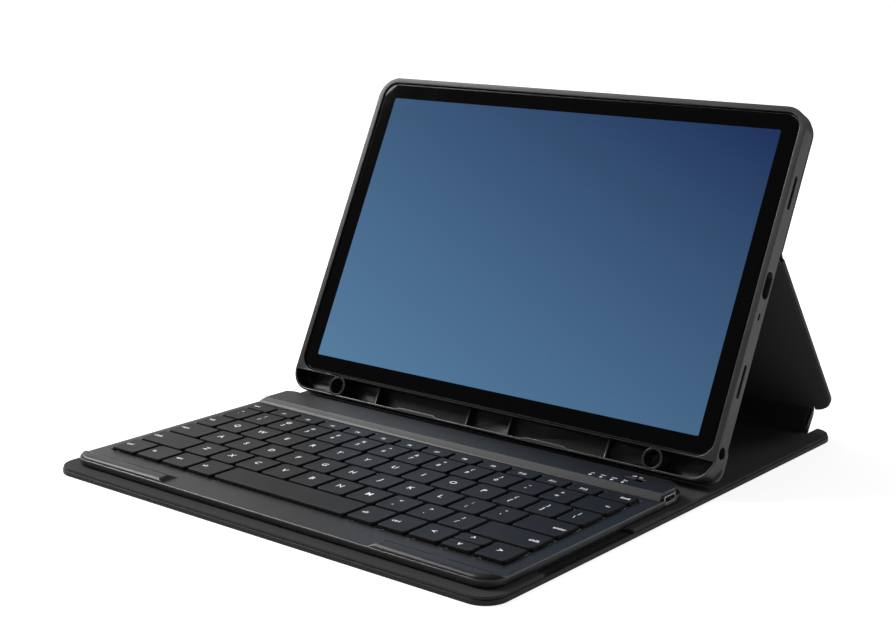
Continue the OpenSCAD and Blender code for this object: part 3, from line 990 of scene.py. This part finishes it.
class KC_OT_legends(bpy.types.Operator):
    """Printed legends on the caps and beside the lights"""

    bl_idname = "kc.legends"
    bl_label = "Legends"

    def execute(self, context):
        settings = context.scene.kc_keyboard
        # The legends' glow is painted light that makes the print brighter; print is no lamp.
        ink = legend_ink("legend_ink", settings.legend_colour, 0.5)
        for node, words in LEGENDS.items():
            marks = []
            for (low, high), word in zip(loose_boxes(node), words):
                marks += self.marks_on(node, word, low, high, settings.letter_height)
            if marks:
                self.print_marks(node + "_legends", marks, frame["nodes"][node]["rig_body"], ink)
        self.print_marks("bar_legends", self.bar_marks(), "keyboard", ink)
        return {"FINISHED"}

    def marks_on(self, node, word, low, high, size):
        """(text, type size, place) for each legend on one cap."""
        place = (low + high) / 2
        place.z = high.z + INK_GAP
        if isinstance(word, tuple):
            styled = zip(word, (UPPER_MARK, LOWER_MARK))
        elif node == "keys_function":
            styled = [(word, FUNCTION_MARK)]
        elif len(word) > 1:
            place.x = high.x - 4.6 * MM if node in RIGHT_WORDS else low.x + 4.2 * MM
            styled = [(word, WORD_MARK)]
        else:
            styled = [(letter, LETTER_MARK) for letter in word]
        return [
            (text, size * share, place + Vector((right, up, 0)) * MM)
            for text, (share, right, up) in styled
        ]

    def bar_marks(self):
        """Words over the lights and beside the switch, as marks_on gives them."""
        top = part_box("kb_top")[1].z + INK_GAP
        marks = []
        names = ("on", "pair", "caps", "bat")
        for (low, high), name in zip(loose_boxes("kb_lights"), names):
            place = (low + high) / 2
            marks.append((name, 1.7 * MM, Vector((place.x, place.y + 2.6 * MM, top))))
        low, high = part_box("kb_switch")
        place = Vector(((low.x + high.x) / 2 + 1.5 * MM, high.y + 2.4 * MM, top))
        marks.append(("off   on", 1.9 * MM, place))
        return marks

    def print_marks(self, name, marks, body, ink):
        """One piece that holds all the given legends."""
        def build(shape):
            for text, size, place in marks:
                mesh = text_mesh(text, size)
                mesh.transform(Matrix.Translation(place))
                shape.from_mesh(mesh)
                bpy.data.meshes.remove(mesh)

        piece(name, mesh_from(build, name), body, ink)


# ---------------------------------------------------------------- stage
class KC_OT_stage(bpy.types.Operator):
    """Camera, floor and studio light"""

    bl_idname = "kc.stage"
    bl_label = "Stage"

    def execute(self, context):
        settings = context.scene.kc_stage
        scene = context.scene
        scene.view_settings.view_transform = "Standard"
        self.camera(scene, settings)
        self.floor(settings.floor_glow)
        self.world(scene)
        self.lights(settings)
        return {"FINISHED"}

    def camera(self, scene, settings):
        lens = bpy.data.cameras.new("camera")
        lens.sensor_width = 36
        lens.lens = settings.lens
        lens.clip_start = 0.01
        lens.clip_end = 100
        made = bpy.data.objects.new("camera", lens)
        scene.collection.objects.link(made)
        azimuth, pitch, roll = settings.camera_turn
        right = Vector((math.cos(azimuth), math.sin(azimuth), 0))
        level = Vector((-right.y, right.x, 0))
        ahead = level * math.cos(pitch) - Vector((0, 0, math.sin(pitch)))
        above = right.cross(ahead)
        across = right * math.cos(roll) + above * math.sin(roll)
        above = above * math.cos(roll) - right * math.sin(roll)
        turn = Matrix((across, above, -ahead)).transposed()
        made.matrix_world = Matrix.Translation(Vector(settings.camera_place)) @ turn.to_4x4()
        scene.camera = made

    def floor(self, glow):
        """A white floor that lights itself, and turns pure white away from the object."""
        graph = Graph("floor", Emission_Strength=1.0)
        tone = graph.noise(3, 2.0)
        length = {"operation": "LENGTH"}
        distance = graph.node("ShaderNodeVectorMath", length, {0: graph.place()}, "Value")
        sweep = graph.mix(graph.blend_range(distance, 0.5, 2.5), (glow, glow, glow), (1, 1, 1))
        graph.feed(
            Base_Color=graph.mix(tone, (0.78, 0.78, 0.78), (0.8, 0.8, 0.8)),
            Roughness=0.8 + tone * 0.1,
            Emission_Color=graph.mix(graph.camera_sees(), (0.39, 0.39, 0.39), sweep),
        )

        def build(shape):
            edge = 14  # half of the floor's side, in metres
            corners = ((-edge, -edge), (edge, -edge), (edge, edge), (-edge, edge))
            shape.faces.new([shape.verts.new((x, y, 0)) for x, y in corners])

        mesh = mesh_from(build, "floor")
        made = bpy.data.objects.new("floor", mesh)
        made.location.z = -0.02 * MM  # just under the base, so that the two share no plane
        bpy.context.scene.collection.objects.link(made)
        mesh.materials.append(graph.material)

    def world(self, scene):
        """A dim room with a bright patch at the back left. The camera sees plain white instead."""
        world = bpy.data.worlds.new("studio")
        world.use_nodes = True
        scene.world = world
        tree = Tree(world.node_tree, "Background")
        patch = Vector((-0.87, 0.42, 0.25)).normalized()
        toward = tree.node(
            "ShaderNodeVectorMath", {"operation": "DOT_PRODUCT"},
            {0: tree.node("ShaderNodeTexCoord"), 1: patch}, "Value",
        )
        rim, core = 0.9, 0.985  # cosines of the angles from the patch's middle
        dim, bright = 0.11, 1.2
        room = tree.blend_range(toward, rim, core, dim, bright)
        brighter = {0: room, 1: tree.camera_sees()}
        tree.feed(Color=tree.node("ShaderNodeMath", {"operation": "MAXIMUM"}, brighter))

    def lights(self, settings):
        """Three softboxes that face the object."""
        target = Vector((0, 0, 50 * MM))
        for name, place, size, power in (
            ("left softbox", (-1.25, -0.35, 1.15), 0.8, settings.left),
            ("top softbox", (-0.3, 0.1, 1.9), 1.6, settings.top),
            ("back softbox", (0.9, 1.6, 1.2), 0.9, settings.back),
        ):
            light = bpy.data.lights.new(name, "AREA")
            light.size = size
            light.energy = power
            made = bpy.data.objects.new(name, light)
            made.location = place
            aim = target - Vector(place)
            made.rotation_euler = aim.to_track_quat("-Z", "Y").to_euler()
            bpy.context.scene.collection.objects.link(made)


# ---------------------------------------------------------------- panel and registration
STEPS = (
    KC_OT_folio_panels,
    KC_OT_folds,
    KC_OT_case,
    KC_OT_tablet,
    KC_OT_keyboard_housing,
    KC_OT_key_caps,
    KC_OT_legends,
    KC_OT_stage,
)


class KC_PT_panel(bpy.types.Panel):
    """Lists the settings and the building steps"""

    bl_idname = "KC_PT_panel"
    bl_label = "Keyboard case"
    bl_space_type = "VIEW_3D"
    bl_region_type = "UI"
    bl_category = "Keyboard case"

    def draw(self, context):
        for name, group in SETTINGS:
            box = self.layout.box()
            for key in group.__annotations__:
                box.prop(getattr(context.scene, name), key)
        for step in STEPS:
            self.layout.operator(step.bl_idname)


def register():
    for name, group in SETTINGS:
        bpy.utils.register_class(group)
        setattr(bpy.types.Scene, name, bpy.props.PointerProperty(type=group))
    for step in STEPS:
        bpy.utils.register_class(step)
    bpy.utils.register_class(KC_PT_panel)


def unregister():
    bpy.utils.unregister_class(KC_PT_panel)
    for step in reversed(STEPS):
        bpy.utils.unregister_class(step)
    for name, group in reversed(SETTINGS):
        delattr(bpy.types.Scene, name)
        bpy.utils.unregister_class(group)


def main():
    register()
    bpy.ops.kc.folio_panels()
    bpy.ops.kc.folds()
    bpy.ops.kc.case()
    bpy.ops.kc.tablet()
    bpy.ops.kc.keyboard_housing()
    bpy.ops.kc.key_caps()
    bpy.ops.kc.legends()
    bpy.ops.kc.stage()


if __name__ == "__main__":
    main()
